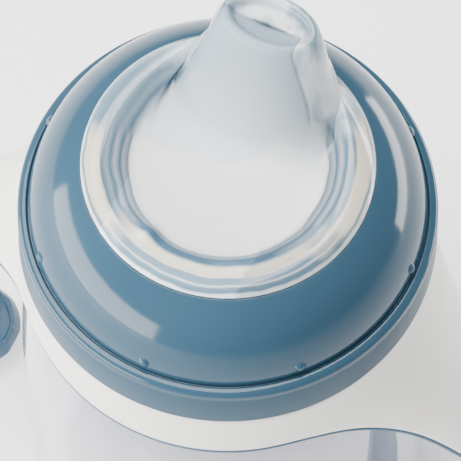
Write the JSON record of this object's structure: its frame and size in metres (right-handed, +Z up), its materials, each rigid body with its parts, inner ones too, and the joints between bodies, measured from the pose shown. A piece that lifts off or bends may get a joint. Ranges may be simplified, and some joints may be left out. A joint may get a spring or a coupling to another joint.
{
  "type": "baby bottle",
  "caption": "Clear wide-neck learning bottle with a soft off-centre drinking spout, a domed screw ring and a turning collar with curled arm handles.",
  "frame": {"origin": "middle of the underside of the bottle's base, on the bottle's axis", "axes": "+Z up the bottle's axis, the handles along X, the drinking spout on the +Y side"},
  "size_m": [0.1296, 0.0766, 0.147],
  "materials": {
    "bottle_body": "clear moulded copolyester, smooth and glossy",
    "screw_ring": "dusty blue polypropylene, polished moulding",
    "drinking_spout": "clear liquid silicone rubber, glossy rim and frosted floor",
    "handle_shell": "warm white polypropylene, satin moulding",
    "handle_liner": "blue soft-touch elastomer, overmoulded"
  },
  "bodies": {
    "bottle": {"bottle_body": "bottle_body"},
    "handles": {"handle_shell": "handle_shell", "handle_liner": "handle_liner"},
    "spout": {"drinking_spout": "drinking_spout"},
    "ring": {"screw_ring": "screw_ring"}
  },
  "joints": [
    {"name": "handles_turn", "type": "hinge", "parent": "bottle", "child": "handles", "pos_m": [0, 0, 0.1045], "axis": [0, 0, 1], "continuous": true},
    {"name": "spout_lift", "type": "slide", "parent": "bottle", "child": "spout", "axis": [0, 0, 1], "range_m": [0, 0.0051]},
    {"name": "ring_unscrew", "type": "hinge", "parent": "spout", "child": "ring", "pos_m": [0, 0, 0.111], "axis": [0, 0, 1], "range_deg": [0, 450]}
  ],
  "couplings": [
    {"joint": "spout_lift", "follows": "ring_unscrew", "m_per_rad": 0.00063662}
  ]
}
